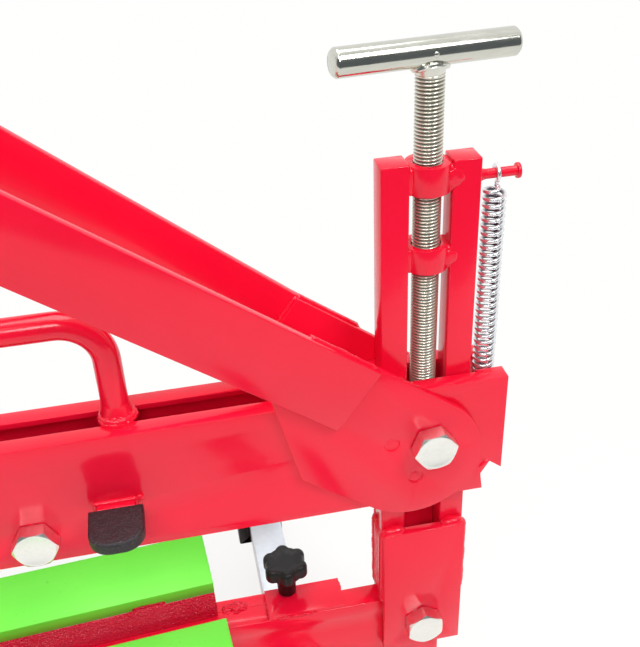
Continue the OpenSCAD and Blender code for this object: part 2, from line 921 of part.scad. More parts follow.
module front_cam() {
    color(red)
        difference() {
            cam_plate(-cam_out, -cam_in);
            plug_spots(-cam_out - over, -cam_out + spot_depth);
        }
}

module rear_cam() {
    color(red)
        difference() {
            cam_plate(cam_in, cam_out);
            plug_spots(cam_out - spot_depth, cam_out + over);
        }
}

// Flat lever bar that steps outwards past its bend
module lever_bar(bend) {
    a = cam_out;
    b = cam_out + splay_step;
    far = bend + splay_len;
    on_lever()
        translate([0, 0, -lever_low])
            linear_extrude(lever_h)
                polygon([[-lever_start, a], [-bend, a], [-far, b], [-lever_len, b],
                    [-lever_len, b + lever_t], [-far, b + lever_t], [-bend, a + lever_t], [-lever_start, a + lever_t]]);
}

module front_bar() {
    color(red)
        mirror([0, 1, 0])
            lever_bar(front_bend);
}

module rear_bar() {
    color(red)
        lever_bar(rear_bend);
}

module drive_pins() {
    color(zinc)
        for (k = [-1, 1])
            mirror([0, k < 0 ? 1 : 0, 0])
                translate([post_x, 0, pivot_z])
                    rod_y(drive_d / 2, -drive_r * cos(drive_angle), drive_r * sin(drive_angle), beam_in - over, cam_in);
}

module grip_tube() {
    b = cam_out + splay_step;
    x = grip_inset - lever_len;
    color(red)
        on_lever()
            difference() {
                rod_y(grip_tube_d / 2, x, grip_z, -b, b);
                rod_y(grip_tube_d / 2 - grip_wall, x, grip_z, -b - over, b + over);
            }
}

module grip_sleeve() {
    color(black)
        on_lever()
            difference() {
                rod_y(sleeve_d / 2, grip_inset - lever_len, grip_z, -sleeve_len / 2, sleeve_len / 2);
                rod_y(grip_tube_d / 2, grip_inset - lever_len, grip_z, -sleeve_len, sleeve_len);
            }
}

module stop_arm() {
    a = arm_w / 2;
    b = a - arm_wall;
    color(zinc)
        difference() {
            box([arm_x - a, lower_t / 2, arm_z], [arm_x + a, arm_back, arm_top]);
            box([arm_x - b, 0, arm_z + arm_wall], [arm_x + b, arm_back + over, arm_top - arm_wall]);
        }
}

module stop_block() {
    a = arm_w / 2 + slip;
    x1 = arm_x + arm_w / 2 + block_side;
    y1 = block_y + block_len;
    color(black)
        difference() {
            box([x1 - block_w, block_y, arm_z - block_floor], [x1, y1, fence_z]);
            box([arm_x - a, block_y - over, arm_z - slip], [arm_x + a, y1 + over, arm_top + slip]);
        }
}

module fence() {
    y = block_y + block_len / 2;
    x1 = arm_x + arm_w / 2 + block_side;
    color(zinc)
        box([-fence_reach, y - fence_t / 2, fence_z], [x1, y + fence_t / 2, fence_z + fence_h]);
}

module fence_cap() {
    y = block_y + block_len / 2;
    half = fence_t / 2 + cap_over;
    color(black)
        box([-fence_reach - cap_len, y - half, fence_z], [-fence_reach, y + half, fence_z + fence_h + cap_over]);
}

module arm_plug() {
    a = arm_w / 2;
    color(black)
        box([arm_x - a, arm_back, arm_z], [arm_x + a, arm_back + cap_len, arm_top]);
}

module stop_knob() {
    ring = (knob_d - lobe_d) / 2;
    lobes = 6;
    color(black)
        difference() {
            union() {
                rod_z(boss_d / 2, stud_x, stud_y, knob_z - boss_h, knob_z + over);
                rod_z(ring, stud_x, stud_y, knob_z, knob_z + knob_h);
                for (k = [1 : lobes])
                    translate([stud_x, stud_y, 0])
                        rotate([0, 0, lobe_turn + 360 * k / lobes])
                            rod_z(lobe_d / 2, ring, 0, knob_z, knob_z + knob_h);
            }
            rod_z(stud_d / 2, stud_x, stud_y, knob_z - boss_h - over, knob_z + knob_h / 2);
        }
}

module knob_stud() {
    color(zinc)
        rod_z(stud_d / 2, stud_x, stud_y, arm_top + slip, knob_z + knob_h / 2);
}

lower_beam();
ledge();
lower_blade();
front_plate();
rear_plate();
plate_lugs();
plate_legs();
table_pin();
cross_bearers();
end_feet();
mid_foot();
foot_pads();
right_post();
left_post();
right_foot_plates();
left_foot_plates();
foot_bolts();
nut_bushes();
guide_bushes();
spring_pins();
right_spring();
left_spring();
clamp_plate();
arm_guide();
right_slider();
left_slider();
right_pivot_bolt();
left_pivot_bolt();
right_spindle();
right_tbar();
left_spindle();
left_tbar();
upper_beam();
upper_blade();
blade_bolts();
blade_spacers();
carry_handle();
stop_tab();
stop_pad();
spring_anchors();
front_cam();
rear_cam();
front_bar();
rear_bar();
drive_pins();
grip_tube();
grip_sleeve();
stop_arm();
stop_block();
fence();
fence_cap();
arm_plug();
stop_knob();
knob_stud();
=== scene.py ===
import json
import math
import random

import bmesh
import bpy
from mathutils import Matrix, Vector, noise


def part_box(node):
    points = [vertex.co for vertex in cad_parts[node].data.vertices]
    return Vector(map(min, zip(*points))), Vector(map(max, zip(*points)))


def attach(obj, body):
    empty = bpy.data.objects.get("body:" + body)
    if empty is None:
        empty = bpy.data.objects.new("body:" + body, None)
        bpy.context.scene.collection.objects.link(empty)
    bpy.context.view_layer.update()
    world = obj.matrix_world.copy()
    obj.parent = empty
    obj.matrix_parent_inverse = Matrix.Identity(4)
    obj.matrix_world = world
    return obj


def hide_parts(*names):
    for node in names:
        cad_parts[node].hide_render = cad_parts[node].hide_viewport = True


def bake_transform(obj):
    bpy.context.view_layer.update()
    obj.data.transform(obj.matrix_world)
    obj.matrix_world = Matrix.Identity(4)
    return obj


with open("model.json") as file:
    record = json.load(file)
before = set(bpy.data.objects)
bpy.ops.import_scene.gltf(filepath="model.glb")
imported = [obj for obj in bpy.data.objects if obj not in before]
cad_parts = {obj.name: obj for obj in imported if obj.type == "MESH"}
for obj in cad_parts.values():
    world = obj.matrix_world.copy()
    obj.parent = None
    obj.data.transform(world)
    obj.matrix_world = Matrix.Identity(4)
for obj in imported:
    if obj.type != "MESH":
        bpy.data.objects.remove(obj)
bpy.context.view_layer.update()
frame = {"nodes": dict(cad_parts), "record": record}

random.seed(7)

record = frame["record"]
body_of = {node: body for body, nodes in record["behaviour"]["bodies"].items() for node in nodes}
slot_of = {part["node"]: part["material_slot"] for part in record["subparts"]}

MM = 0.001

# Main places of the machine, in millimetres
POST_X = 345          # middle of a post, with its spindle and its pivot
POST_BAR = 25         # from there to the middle of a post bar
SPRING_X = 393.5
HANDLE_X = 115.5      # leg of the carry handle
FOOT_X = 244          # end foot
BEARER_X = 110        # cross bearer, and the lugs and legs of the plates
BEARER_WELD_Z = 30.6  # where feet and bearers meet what stands on them
LOWER_TOP = 120       # top of the lower beam
BEAM_Z = 247          # underside of the upper beam
BEAM_TOP = 354.5
BEAM_HALF = 23.75     # half the depth of the upper beam
PIVOT_Z = 307
CROSS_BAR_Z = 597
CAM_OUT = 29.25       # outer face of a cam plate
GRIP_ALONG, GRIP_ACROSS = 1050, 8.25
THREAD_PITCH = 2.5
LEVER_REST = math.radians(36.5)
TABLE_YAW = math.radians(4)

# Broken edges of the plain pieces
EDGE_WIDTH = 1.0
EDGE_STEPS = 2
EDGE_ANGLE = math.radians(28)
SLIDER_DEPTH = 0.975  # share of the solid's depth, for play between the beam's lips

# The photograph's camera, fitted to the edges of posts and beams
CAMERA_PLACE = (0.16785, -0.55610, 0.76309)
CAMERA_ANGLES = (10.15147, 32.07344, -2.51742)  # yaw, pitch and roll
FOCAL_PIXELS = 928.37
PHOTO_WIDTH = 640
SENSOR_WIDTH = 36


def photo_camera():
    """Camera where the photograph was taken from."""
    yaw, pitch, roll = (math.radians(a) for a in CAMERA_ANGLES)
    ahead = Vector((math.sin(yaw) * math.cos(pitch), math.cos(yaw) * math.cos(pitch), -math.sin(pitch)))
    level = Vector((math.cos(yaw), -math.sin(yaw), 0))
    upright = level.cross(ahead)
    right = math.cos(roll) * level + math.sin(roll) * upright
    up = math.cos(roll) * upright - math.sin(roll) * level
    data = bpy.data.cameras.new("photo_camera")
    data.sensor_fit = "HORIZONTAL"
    data.sensor_width = SENSOR_WIDTH
    data.lens = FOCAL_PIXELS * SENSOR_WIDTH / PHOTO_WIDTH
    data.clip_start = 0.01
    camera = bpy.data.objects.new("photo_camera", data)
    turn = Matrix((right, up, -ahead)).transposed().to_4x4()
    camera.matrix_world = Matrix.Translation(CAMERA_PLACE) @ turn
    bpy.context.scene.collection.objects.link(camera)
    bpy.context.scene.camera = camera


# ---------------------------------------------------------------- finishes


class Shade:
    """A socket in a finish, so that shader sums are written as plain expressions."""

    def __init__(self, tree, socket):
        self.tree, self.socket = tree, socket

    def sum(self, operation, first, second=0.0):
        return node(self.tree, "ShaderNodeMath", {"operation": operation}, {0: first, 1: second})

    def __add__(self, other):
        return self.sum("ADD", self, other)

    def __sub__(self, other):
        return self.sum("SUBTRACT", self, other)

    def __rsub__(self, other):
        return self.sum("SUBTRACT", other, self)

    def __mul__(self, other):
        return self.sum("MULTIPLY", self, other)

    def __pow__(self, other):
        return self.sum("POWER", self, other)

    def __abs__(self):
        return self.sum("ABSOLUTE", self)


def node(tree, kind, settings=None, values=None, out=0):
    """Adds one node: its settings first, then the values or links of its sockets."""
    made = tree.nodes.new(kind)
    for name, value in (settings or {}).items():
        setattr(made, name, value)
    for name, value in (values or {}).items():
        if isinstance(value, Shade):
            tree.links.new(value.socket, made.inputs[name])
        else:
            made.inputs[name].default_value = value
    return Shade(tree, made.outputs[out])


def colour_mix(tree, share, first, second):
    return node(tree, "ShaderNodeMix", {"data_type": "RGBA"}, {0: share, 6: first, 7: second}, 2)


def grain(tree, place, scale, detail=2.0, rough=0.5):
    return node(tree, "ShaderNodeTexNoise", None,
                {"Vector": place, "Scale": scale, "Detail": detail, "Roughness": rough})


def stretched(tree, place, scale):
    return node(tree, "ShaderNodeVectorMath", {"operation": "MULTIPLY"}, {0: place, 1: scale})


def ramp(tree, value, low, high):
    return node(tree, "ShaderNodeMapRange", None, {0: value, 1: low, 2: high, 3: 0.0, 4: 1.0})


def relief(tree, height, strength, depth):
    return node(tree, "ShaderNodeBump", None, {"Strength": strength, "Distance": depth, "Height": height})


def parts_of(tree, place, *axes):
    return [node(tree, "ShaderNodeSeparateXYZ", None, {0: place}, axis) for axis in axes]


def from_uprights(tree, place, line):
    """Distance in metres from the two upright lines at plus and minus an X in millimetres."""
    x, y = parts_of(tree, place, 0, 1)
    side = abs(x) - line * MM
    return (side * side + y * y) ** 0.5


def ray_kinds(tree):
    """Whether a ray comes from the camera, from a mirroring or through a clear surface."""
    return [node(tree, "ShaderNodeLightPath", out=kind)
            for kind in ("Is Camera Ray", "Is Glossy Ray", "Is Transmission Ray")]


def finish(name):
    """New finish with its tree, its shader and the place on the piece in metres."""
    made = bpy.data.materials.new(name)
    made.use_nodes = True
    tree = made.node_tree
    shader = tree.nodes["Principled BSDF"]
    place = node(tree, "ShaderNodeTexCoord", out=3)
    return made, tree, shader, place


def join(tree, shader, **links):
    for name, value in links.items():
        socket = shader.inputs[name.replace("_", " ")]
        if isinstance(value, Shade):
            tree.links.new(value.socket, socket)
        else:
            socket.default_value = value


def signal_red_paint(name, lumps, strength, depth, dull=0.12, painted_shade_scale=1.0):
    """Glossy red paint with a faint orange peel, wavier over welds and grainy over ground steel; a shade
    scale under 1 darkens it as painted shade.
    """
    made, tree, shader, place = finish(name)
    cloud = ramp(tree, grain(tree, place, 9.0, 3.0), 0.35, 0.7)
    speck = ramp(tree, grain(tree, place, 700.0, 1.0), 0.68, 0.8)
    # Painted shade: a scale under 1 darkens both reds of the paint
    base = colour_mix(tree, cloud, (0.84 * painted_shade_scale, 0.004, 0.032, 1), (0.90 * painted_shade_scale, 0.007, 0.040, 1))
    base = colour_mix(tree, speck * 0.12, base, (0.75, 0.05, 0.06, 1))
    haze = grain(tree, place, 40.0, 4.0)
    peel = grain(tree, place, 420.0, 1.0) + grain(tree, place, 130.0, 1.0) * 1.5
    peel = peel + grain(tree, place, 640.0, 1.0) * lumps
    join(tree, shader, Base_Color=base, Roughness=haze * 0.12 + dull,
         Normal=relief(tree, peel, strength, depth))
    join(tree, shader, Coat_Weight=0.1, Coat_Roughness=0.04, IOR=1.42)
    return made


def bright_green_paint():
    """Satin green paint of the support plates, with faint dust."""
    made, tree, shader, place = finish("bright_green_paint")
    cloud = ramp(tree, grain(tree, place, 14.0, 3.0), 0.3, 0.75)
    dust = ramp(tree, grain(tree, place, 260.0, 2.0), 0.7, 0.82)
    base = colour_mix(tree, cloud, (0.165, 0.93, 0.055, 1), (0.195, 0.97, 0.070, 1))
    base = colour_mix(tree, dust * 0.5, base, (0.11, 0.55, 0.05, 1))
    join(tree, shader, Base_Color=base, Roughness=grain(tree, place, 60.0, 3.0) * 0.2 + 0.3,
         Normal=relief(tree, grain(tree, place, 500.0, 2.0), 0.12, 0.0003))
    return made


def zinc(name, light, dark, smooth, stretch, streak=1.0):
    """Bright zinc plating, with fine streaks along the way it was drawn or ground."""
    made, tree, shader, place = finish(name)
    lines = grain(tree, stretched(tree, place, stretch), 1.0, 3.0, 0.6)
    cloud = grain(tree, place, 45.0, 3.0)
    share = ramp(tree, lines * 0.6 * streak + cloud * (1 - 0.6 * streak), 0.3, 0.7)
    base = colour_mix(tree, share, dark, light)
    join(tree, shader, Base_Color=base, Metallic=1.0, Roughness=cloud * 0.14 + lines * 0.1 + smooth,
         Normal=relief(tree, lines, 0.08, 0.0002))
    return made


def spindle_zinc():
    """Yellow zinc of the screw spindles under an oily coat, with painted shade down in the thread and pale
    zinc along its ridges.
    """
    made, tree, shader, place = finish("spindle_zinc")
    ridge = ramp(tree, from_uprights(tree, place, POST_X), 0.0087, 0.0099)
    cloud = grain(tree, place, 60.0, 3.0)
    share = ridge * 0.85 + cloud * 0.15
    # Dark colour in the grooves, below the ridge radius, is painted shade
    base = colour_mix(tree, share, (0.060, 0.055, 0.038, 1), (0.86, 0.83, 0.70, 1))
    join(tree, shader, Base_Color=base, Metallic=ridge * 0.4 + 0.4, Roughness=cloud * 0.16 + 0.14)
    join(tree, shader, Coat_Weight=0.5, Coat_Roughness=0.06)
    return made


def coil_zinc():
    """Bright spring wire, with painted shade on the inner side of the coils below the top hook."""
    made, tree, shader, place = finish("coil_zinc")
    # Painted shade: the wire's inner side, near the coil axis, is darkened
    inner = 1 - ramp(tree, from_uprights(tree, place, SPRING_X), 0.0058, 0.0074)
    hook = ramp(tree, parts_of(tree, place, 2)[0], 0.496, 0.499)
    cloud = grain(tree, place, 300.0, 3.0)
    base = colour_mix(tree, cloud, (0.78, 0.78, 0.81, 1), (0.90, 0.90, 0.92, 1))
    base = colour_mix(tree, inner * (1 - hook) * 0.9, base, (0.10, 0.085, 0.11, 1))
    join(tree, shader, Base_Color=base, Metallic=0.85, Roughness=cloud * 0.12 + 0.16)
    return made


def galvanised_tube():
    """Pale galvanised steel of the stop's tube and fence, with a faint spangle."""
    made, tree, shader, place = finish("galvanised_tube")
    spangle = node(tree, "ShaderNodeTexVoronoi", None, {"Vector": place, "Scale": 170.0})
    cloud = grain(tree, place, 30.0, 4.0)
    share = ramp(tree, spangle * 0.4 + cloud * 0.8, 0.25, 0.85)
    base = colour_mix(tree, share, (0.82, 0.93, 1.0, 1), (0.70, 0.81, 0.88, 1))
    join(tree, shader, Base_Color=base, Metallic=0.25, Roughness=share * 0.16 + 0.26,
         Normal=relief(tree, cloud, 0.06, 0.0003))
    return made


def black_rubber():
    """Grained black rubber of the lever stop, the grip and the floor pads."""
    made, tree, shader, place = finish("black_rubber")
    fine = grain(tree, place, 1500.0, 2.0, 0.6)
    coarse = grain(tree, place, 620.0, 2.0, 0.55)
    dust = ramp(tree, coarse, 0.5, 0.8)
    base = colour_mix(tree, dust, (0.014, 0.011, 0.014, 1), (0.060, 0.048, 0.060, 1))
    join(tree, shader, Base_Color=base, Roughness=coarse * 0.3 + 0.22,
         Normal=relief(tree, coarse + fine * 0.6, 0.85, 0.0010))
    return made


def black_plastic():
    """Moulded black plastic of the knob, the block and the caps."""
    made, tree, shader, place = finish("black_plastic")
    fine = grain(tree, place, 2200.0, 2.0)
    cloud = grain(tree, place, 90.0, 3.0)
    share = ramp(tree, cloud, 0.35, 0.75)
    base = colour_mix(tree, share, (0.006, 0.006, 0.006, 1), (0.014, 0.013, 0.013, 1))
    join(tree, shader, Base_Color=base, Roughness=cloud * 0.22 + 0.3, Specular_IOR_Level=0.28,
         Normal=relief(tree, fine, 0.3, 0.0003))
    return made


# ---------------------------------------------------------------- mesh making


def turns(count):
    """Angles that divide a full turn evenly."""
    return [2 * math.pi * k / count for k in range(count)]


def quarter(count):
    """Angles of a quarter turn in even steps, with both ends."""
    return [math.pi / 2 * i / count for i in range(count + 1)]


class Mould:
    """Gathers the points and faces of one piece, in millimetres."""

    def __init__(self):
        self.points, self.faces = [], []

    def loft(self, rings, caps=True, loop=False):
        """Skin over a row of rings with equal counts of points."""
        start, count = len(self.points), len(rings[0])
        for ring in rings:
            self.points.extend(tuple(p) for p in ring)
        rows = len(rings) if loop else len(rings) - 1
        for i in range(rows):
            a, b = start + i * count, start + (i + 1) % len(rings) * count
            for k in range(count):
                n = (k + 1) % count
                self.faces.append((a + k, a + n, b + n, b + k))
        if caps and not loop:
            last = start + (len(rings) - 1) * count
            self.faces.append(tuple(range(start + count - 1, start - 1, -1)))
            self.faces.append(tuple(range(last, last + count)))

    def sweep(self, path, radius, sides=12, caps=True, loop=False, up=(0.31, 0.17, 0.93)):
        """Round bar along a path; the radius is a number or a function of point and side."""
        points = [Vector(p) for p in path]
        count, rings, up = len(points), [], Vector(up)
        for i, point in enumerate(points):
            after = points[(i + 1) % count] if loop else points[min(i + 1, count - 1)]
            along = (after - points[i - 1 if loop else max(i - 1, 0)]).normalized()
            up = (up - up.dot(along) * along).normalized()
            side = along.cross(up)
            ring = []
            for k, angle in enumerate(turns(sides)):
                size = radius(i, k) if callable(radius) else radius
                ring.append(point + size * (math.cos(angle) * up + math.sin(angle) * side))
            rings.append(ring)
        self.loft(rings, caps, loop)

    def turned(self, profile, base, axis, sides=32):
        """Turns a profile of (radius, height) pairs about an axis."""
        axis = Vector(axis).normalized()
        first = axis.orthogonal().normalized() if abs(axis.z) < 0.9 else Vector((1, 0, 0))
        second = axis.cross(first)
        rings = []
        for radius, height in profile:
            middle = Vector(base) + axis * height
            rings.append([middle + radius * (math.cos(a) * first + math.sin(a) * second)
                          for a in turns(sides)])
        self.loft(rings)

    def bead(self, path, size, step=1.3, pitch=3.4, loop=False, up=(0.31, 0.17, 0.93), wild=1.0):
        """Weld bead along a path: a rippled, more or less uneven string of lumps."""
        points = spaced([Vector(p) for p in path], step, loop)
        ripple = random.uniform(0, 6)

        def radius(i, k):
            p = points[i]
            wave = 0.09 * math.sin(2 * math.pi * i * step / pitch + ripple)
            broad = 0.30 * noise.noise(p * 0.16 + Vector((ripple, 0, 0)))
            small = 0.16 * noise.noise(p * 0.55 + Vector((k * 0.6, 0, 0)))
            from_end = min(1, step * min(i, len(points) - 1 - i) / (1.7 * size))
            end = 1 if loop else max(0.2, math.sqrt(1 - (1 - from_end) ** 2))
            return size * end * (1 + wild * (wave + (broad + small)))

        self.sweep(points, radius, 10, True, loop, up)

    def blob(self, centre, size, normal, flat=0.5, wild=0.12):
        """Round spot of weld, flattened along its normal."""
        centre, normal = Vector(centre), Vector(normal).normalized()
        first = normal.orthogonal().normalized()
        second = normal.cross(first)
        rings = []
        for i in range(1, 10):
            lift = math.pi * i / 10
            ring = []
            for angle in turns(18):
                round_way = math.cos(angle) * first + math.sin(angle) * second
                way = math.sin(lift) * round_way + flat * math.cos(lift) * normal
                uneven = noise.noise((centre + way * size) * 0.35)
                ring.append(centre + way * size * (1 + wild * uneven))
            rings.append(ring)
        self.loft(rings)


def spaced(points, step, loop=False):
    """Points at an even step along a path."""
    if loop:
        points = points + [points[0]]
    lengths = [0.0]
    for a, b in zip(points, points[1:]):
        lengths.append(lengths[-1] + (b - a).length)
    count = max(3, round(lengths[-1] / step))
    made, j = [], 0
    for i in range(count if loop else count + 1):
        goal = lengths[-1] * i / count
        while j < len(points) - 2 and lengths[j + 1] < goal:
            j += 1
        share = (goal - lengths[j]) / max(1e-9, lengths[j + 1] - lengths[j])
        made.append(points[j].lerp(points[j + 1], min(1, max(0, share))))
    return made


def smooth_path(points, steps):
    """Rounded path through the given points."""
    points = [Vector(p) for p in points]
    made = []
    for i in range(len(points) - 1):
        p0, p1, p2, p3 = (points[min(max(i + d, 0), len(points) - 1)] for d in (-1, 0, 1, 2))
        for s in range(steps):
            t = s / steps
            made.append(0.5 * (2 * p1 + (p2 - p0) * t + (2 * p0 - 5 * p1 + 4 * p2 - p3) * t * t
                               + (3 * p1 - p0 - 3 * p2 + p3) * t ** 3))
    return made + [points[-1]]


def place_piece(name, mesh, paint, nodes=(), crease=32):
    """Puts a mesh into the scene as a piece, in place of the CAD nodes it shows."""
    mesh.shade_smooth()
    mesh.set_sharp_from_angle(angle=math.radians(crease))
    mesh.materials.clear()
    mesh.materials.append(paint)
    made = bpy.data.objects.new(name, mesh)
    bpy.context.scene.collection.objects.link(made)
    if nodes:
        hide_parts(*nodes)
    return made


def cast(name, mould, paint, body=None, nodes=(), crease=32):
    """Turns a mould into a piece, which rides on a body unless it is left free."""
    mesh = bpy.data.meshes.new(name)
    mesh.from_pydata([Vector(p) * MM for p in mould.points], [], mould.faces)
    shape = bmesh.new()
    shape.from_mesh(mesh)
    bmesh.ops.recalc_face_normals(shape, faces=shape.faces)
    shape.to_mesh(mesh)
    shape.free()
    made = place_piece(name, mesh, paint, nodes, crease)
    if body:
        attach(made, body)
    return made


def eased(name, width, paint, depth=1.0):
    """Copy of a CAD node with its edges broken, as on bar stock and sheet; depth slims it for play."""
    shape = bmesh.new()
    shape.from_mesh(frame["nodes"][name].data)
    bmesh.ops.remove_doubles(shape, verts=shape.verts, dist=2e-6)
    bmesh.ops.dissolve_limit(shape, angle_limit=math.radians(0.5), verts=shape.verts, edges=shape.edges)
    sharp = [e for e in shape.edges if len(e.link_faces) == 2 and e.calc_face_angle() > EDGE_ANGLE]
    bmesh.ops.bevel(shape, geom=sharp, offset=width * MM, offset_type="OFFSET", segments=EDGE_STEPS,
                    profile=0.5, affect="EDGES", clamp_overlap=True)
    for point in shape.verts:
        point.co.y *= depth
    mesh = bpy.data.meshes.new(name + "_eased")
    shape.to_mesh(mesh)
    shape.free()
    made = place_piece(name + "_eased", mesh, paint, (name,))
    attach(made, body_of[name])


# ---------------------------------------------------------------- pieces


def on_lever(along, across, y):
    """Place on the lever at rest: along it from the pivot, across it upwards, and in depth."""
    c, s = math.cos(LEVER_REST), math.sin(LEVER_REST)
    return (POST_X - along * c + across * s, y, PIVOT_Z + along * s + across * c)


def on_table(x, y, z):
    """Place on the blade table, which stands turned on the lower beam."""
    c, s = math.cos(TABLE_YAW), math.sin(TABLE_YAW)
    return (x * c - y * s, x * s + y * c, z)


def on_beam(x, y, z):
    """Place on the upper beam, which stands straight."""
    return (x, y, z)


def corners(name):
    """Low and high corner of a CAD node, in millimetres."""
    low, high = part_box(name)
    return low / MM, high / MM


def threaded_spindle(side, paint):
    """Screw spindle with its thread, which runs out below the cross bar's weld."""
    name = side + "_spindle"
    low, high = corners(name)
    x = (low.x + high.x) / 2
    rows, sides = 8, 36
    root, height, neck = 8.6, 1.35, 8.8
    top = high.z - 8
    rings = []
    for j in range(int((top - low.z) / THREAD_PITCH * rows) + 1):
        z = low.z + j * THREAD_PITCH / rows
        fade = min(1, (z - low.z) / 3, (top - z) / 4)
        ring = []
        for angle in turns(sides):
            turn = (z / THREAD_PITCH - angle / (2 * math.pi)) % 1
            ridge = min(1, max(0, 1.5 * (1 - abs(2 * turn - 1)) - 0.2))
            radius = root + height * ridge * max(0.15, fade) + 0.25 * (1 - max(0, fade))
            ring.append((x + radius * math.cos(angle), radius * math.sin(angle), z))
        rings.append(ring)
    rings.append([(x + neck * math.cos(a), neck * math.sin(a), top + 6) for a in turns(sides)])
    mould = Mould()
    mould.loft(rings)
    cast(name + "_thread", mould, paint, side + "_screw", (name,), 75)


def cross_bar(side, paint, weld_paint):
    """Cross bar on top of a spindle, with chamfered ends, and the weld that holds it."""
    name = side + "_tbar"
    yaw, tilt = math.radians(9.3), math.radians(1.3)
    centre = Vector((POST_X if side == "right" else -POST_X, 0, CROSS_BAR_Z))
    along = Vector((math.cos(tilt) * math.cos(yaw), math.cos(tilt) * math.sin(yaw), -math.sin(tilt)))
    radius, half, shift = 9.5, 64, 2.5
    # The rings beside the chamfers keep the shading straight along the bar
    end = [(radius * 0.3, 0), (radius - 2.2, 0), (radius - 1.7, 0.25), (radius - 0.2, 1.9),
           (radius, 2.4), (radius, 3.2)]
    profile = end + [(radius, half)] + [(r, 2 * half - h) for r, h in reversed(end)]
    mould = Mould()
    mould.turned(profile, centre - along * (half + shift), along, 48)
    cast(name + "_bar", mould, paint, side + "_screw", (name,), 35)
    weld = Mould()
    ring = []
    for angle in turns(40):
        drop = math.sqrt(radius ** 2 - (7 * math.sin(angle)) ** 2)
        across = 8.4 * math.sin(angle) + 1.6 * math.cos(angle)
        ring.append(centre + Vector((11.6 * math.cos(angle), across, -drop - 0.3)))
    weld.bead(ring, 2.1, 1.2, 3.8, True, (0, 0, 1), 0.5)
    weld.blob(centre + Vector((1, -radius + 0.4, 0.4)), 1.8, (0, -1, 0), 0.5)
    collar = [(9.2, 0), (9.6, 2.5), (10.6, 5), (11, 7.5), (9, 9)]
    weld.turned(collar, centre - Vector((0, 0, radius + 5.5)), (0, 0, 1), 32)
    cast(name + "_weld", weld, weld_paint, side + "_screw")


def hexagon(angle, turn):
    """Reach of a hexagon across its flats of 2, by angle."""
    return 1 / math.cos((angle - turn + math.pi / 6) % (math.pi / 3) - math.pi / 6)


def hexagon_bolt(mould, x, z, front, back, turn):
    """Bolt along the depth, with a chamfered head in front and a nut and thread end behind."""
    half, sides, head, nut, shank = 15, 72, 12.5, 16, 9.9
    turn = math.radians(turn)
    slope = math.tan(math.radians(32))

    def hexagon_rings(near, far, both_cut):
        rings = [[], [], [], []]
        for angle in turns(sides):
            reach = half * min(1.135, hexagon(angle, turn))
            face = min(reach - 0.35, half * 0.985)
            cut = (reach - face) * slope
            steps = [(face, near), (reach, near + cut)]
            steps += [(reach, far - cut), (face, far)] if both_cut else [(reach, far - 0.05), (reach, far)]
            for ring, (size, y) in zip(rings, steps):
                ring.append((x + size * math.cos(angle), y, z + size * math.sin(angle)))
        return rings

    face_rings = [[(x + r * math.cos(a), y, z + r * math.sin(a)) for a in turns(sides)]
                  for r, y in ((4, front - 12.1), (12.4, front - 12.15), (13.2, front - head))]
    mould.loft(face_rings + hexagon_rings(front - head, front - 0.6, False))
    mould.turned([(14, 0), (14.4, 0.2), (14.4, 0.7)], (x, front - 0.7, z), (0, 1, 0), 48)
    mould.loft(hexagon_rings(back, back + nut, True))
    mould.turned([(shank, 0), (shank, back - front)], (x, front, z), (0, 1, 0), 36)
    tail = [(shank if k % 2 else 8.8, k * 0.95) for k in range(6)] + [(8.2, 6)]
    mould.turned(tail, (x, back + nut, z), (0, 1, 0), 36)


def bolts(paint):
    """All the hexagon bolts, turned as the photograph shows their heads."""
    for name, spots, z, front, turn in (
            ("foot_bolts", (-POST_X, POST_X), LOWER_TOP - 24.5, 18, 0),
            ("blade_bolts", (-43, 43), 271, BEAM_HALF, 30),
            ("right_pivot_bolt", (POST_X,), PIVOT_Z, CAM_OUT + 0.5, 38),
            ("left_pivot_bolt", (-POST_X,), PIVOT_Z, BEAM_HALF + 0.5, 20)):
        mould = Mould()
        for x in spots:
            hexagon_bolt(mould, x, z, -front, front, turn)
        cast(name + "_cut", mould, paint, body_of[name], (name,), 25)


def pull_spring(side, paint):
    """Return spring: coils with a hook over the post's pin and a long hook under the beam's rod."""
    s = 1 if side == "right" else -1
    low, high = corners(side + "_spring")
    x = (low.x + high.x) / 2
    pin, rod, bend = high.z + 3.5, low.z - 3.5, 5.3
    wire, reach, curls, steps = 1.6, 7.0, 37.5, 22
    first, last = rod + 17, pin - 13
    coil = []
    for i in range(int(curls * steps) + 1):
        t = i / steps
        angle = s * 2 * math.pi * t
        wide = reach * min(1, t / 0.6 * 0.45 + 0.55)
        coil.append((x + wide * math.cos(angle), wide * math.sin(angle), first + (last - first) * t / curls))
    neck = []
    for i in range(1, 9):
        e = i / 8
        angle = s * math.pi * (1 + e)
        close = reach * (1 - 0.9 * e)
        neck.append((x + close * math.cos(angle), close * math.sin(angle) - 0.6 * e,
                     last + 3.2 * e * e + 1.2 * e))
    over = [math.radians(a) for a in range(-110, -341, -15)]
    loop = [(x + 0.4, bend * math.cos(a), pin + bend * math.sin(a)) for a in over]
    top = smooth_path(neck[2:] + [(x + 0.6, -1.4, pin - 6.6)] + loop, 3)
    mould = Mould()
    mould.sweep(coil + neck[:2] + top, wire, 8)
    made = cast(side + "_spring_coil", mould, paint, None, (side + "_spring",), 60)
    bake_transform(made)
    hook = [(x, 0, rod + 62), (x, 0, rod + 30), (x, 0, rod + 14), (x, 0.4, rod + 8.8)]
    under = [math.radians(a) for a in range(-85, 216, 15)]
    hook += [(x + s * 0.6, bend * math.cos(a), rod - bend * math.sin(a)) for a in under]
    mould = Mould()
    mould.sweep(smooth_path(hook, 4), wire, 8)
    cast(side + "_spring_hook", mould, paint, "beam", (), 60)


